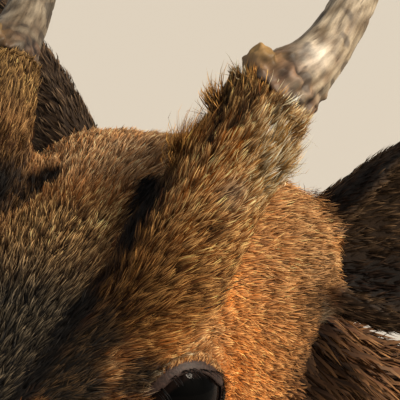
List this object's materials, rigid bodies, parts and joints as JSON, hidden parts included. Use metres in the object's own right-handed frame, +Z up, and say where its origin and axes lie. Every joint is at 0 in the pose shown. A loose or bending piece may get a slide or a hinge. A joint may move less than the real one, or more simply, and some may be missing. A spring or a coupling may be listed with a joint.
{
  "type": "muntjac model",
  "caption": "Life-size still model of a standing male muntjac with short antlers, tusks and full coat, for a museum display.",
  "frame": {"origin": "on the floor, under the middle of the animal's bounding box", "axes": "+Z up, the animal faces -Y and its left side is at +X"},
  "size_m": [0.2056, 0.7246, 0.6409],
  "materials": {
    "coat": "short dense fur, chestnut brown, lying back along the body",
    "leg_coat": "short flat fur, darker brown",
    "face_coat": "short grizzled fur, orange tan with dark roots and two black stripes",
    "pedicle_coat": "bristly straw and orange fur with dark roots",
    "ear_coat": "thin fur, dark inside the cup",
    "tail_coat": "long hair, chestnut above and white below",
    "antler_bone": "dry polished bone with brown furrows and specks",
    "hoof_horn": "dark horn, satin",
    "nose_skin": "moist black pebbled skin",
    "eye": "wet, nearly black",
    "tusk_ivory": "ivory"
  },
  "bodies": {
    "root": {"torso": "coat", "neck": "coat", "head": "face_coat", "nose_pad": "nose_skin", "tail": "tail_coat", "eye_left": "eye", "ear_left": "ear_coat", "tusk_left": "tusk_ivory", "pedicle_left": "pedicle_coat", "antler_left": "antler_bone", "foreleg_left": "leg_coat", "foreleg_left_hoof_inner": "hoof_horn", "foreleg_left_dew_claw_inner": "hoof_horn", "foreleg_left_hoof_outer": "hoof_horn", "foreleg_left_dew_claw_outer": "hoof_horn", "hindleg_left": "leg_coat", "hindleg_left_hoof_inner": "hoof_horn", "hindleg_left_dew_claw_inner": "hoof_horn", "hindleg_left_hoof_outer": "hoof_horn", "hindleg_left_dew_claw_outer": "hoof_horn", "eye_right": "eye", "ear_right": "ear_coat", "tusk_right": "tusk_ivory", "pedicle_right": "pedicle_coat", "antler_right": "antler_bone", "foreleg_right": "leg_coat", "foreleg_right_hoof_inner": "hoof_horn", "foreleg_right_dew_claw_inner": "hoof_horn", "foreleg_right_hoof_outer": "hoof_horn", "foreleg_right_dew_claw_outer": "hoof_horn", "hindleg_right": "leg_coat", "hindleg_right_hoof_inner": "hoof_horn", "hindleg_right_dew_claw_inner": "hoof_horn", "hindleg_right_hoof_outer": "hoof_horn", "hindleg_right_dew_claw_outer": "hoof_horn"}
  },
  "joints": []
}
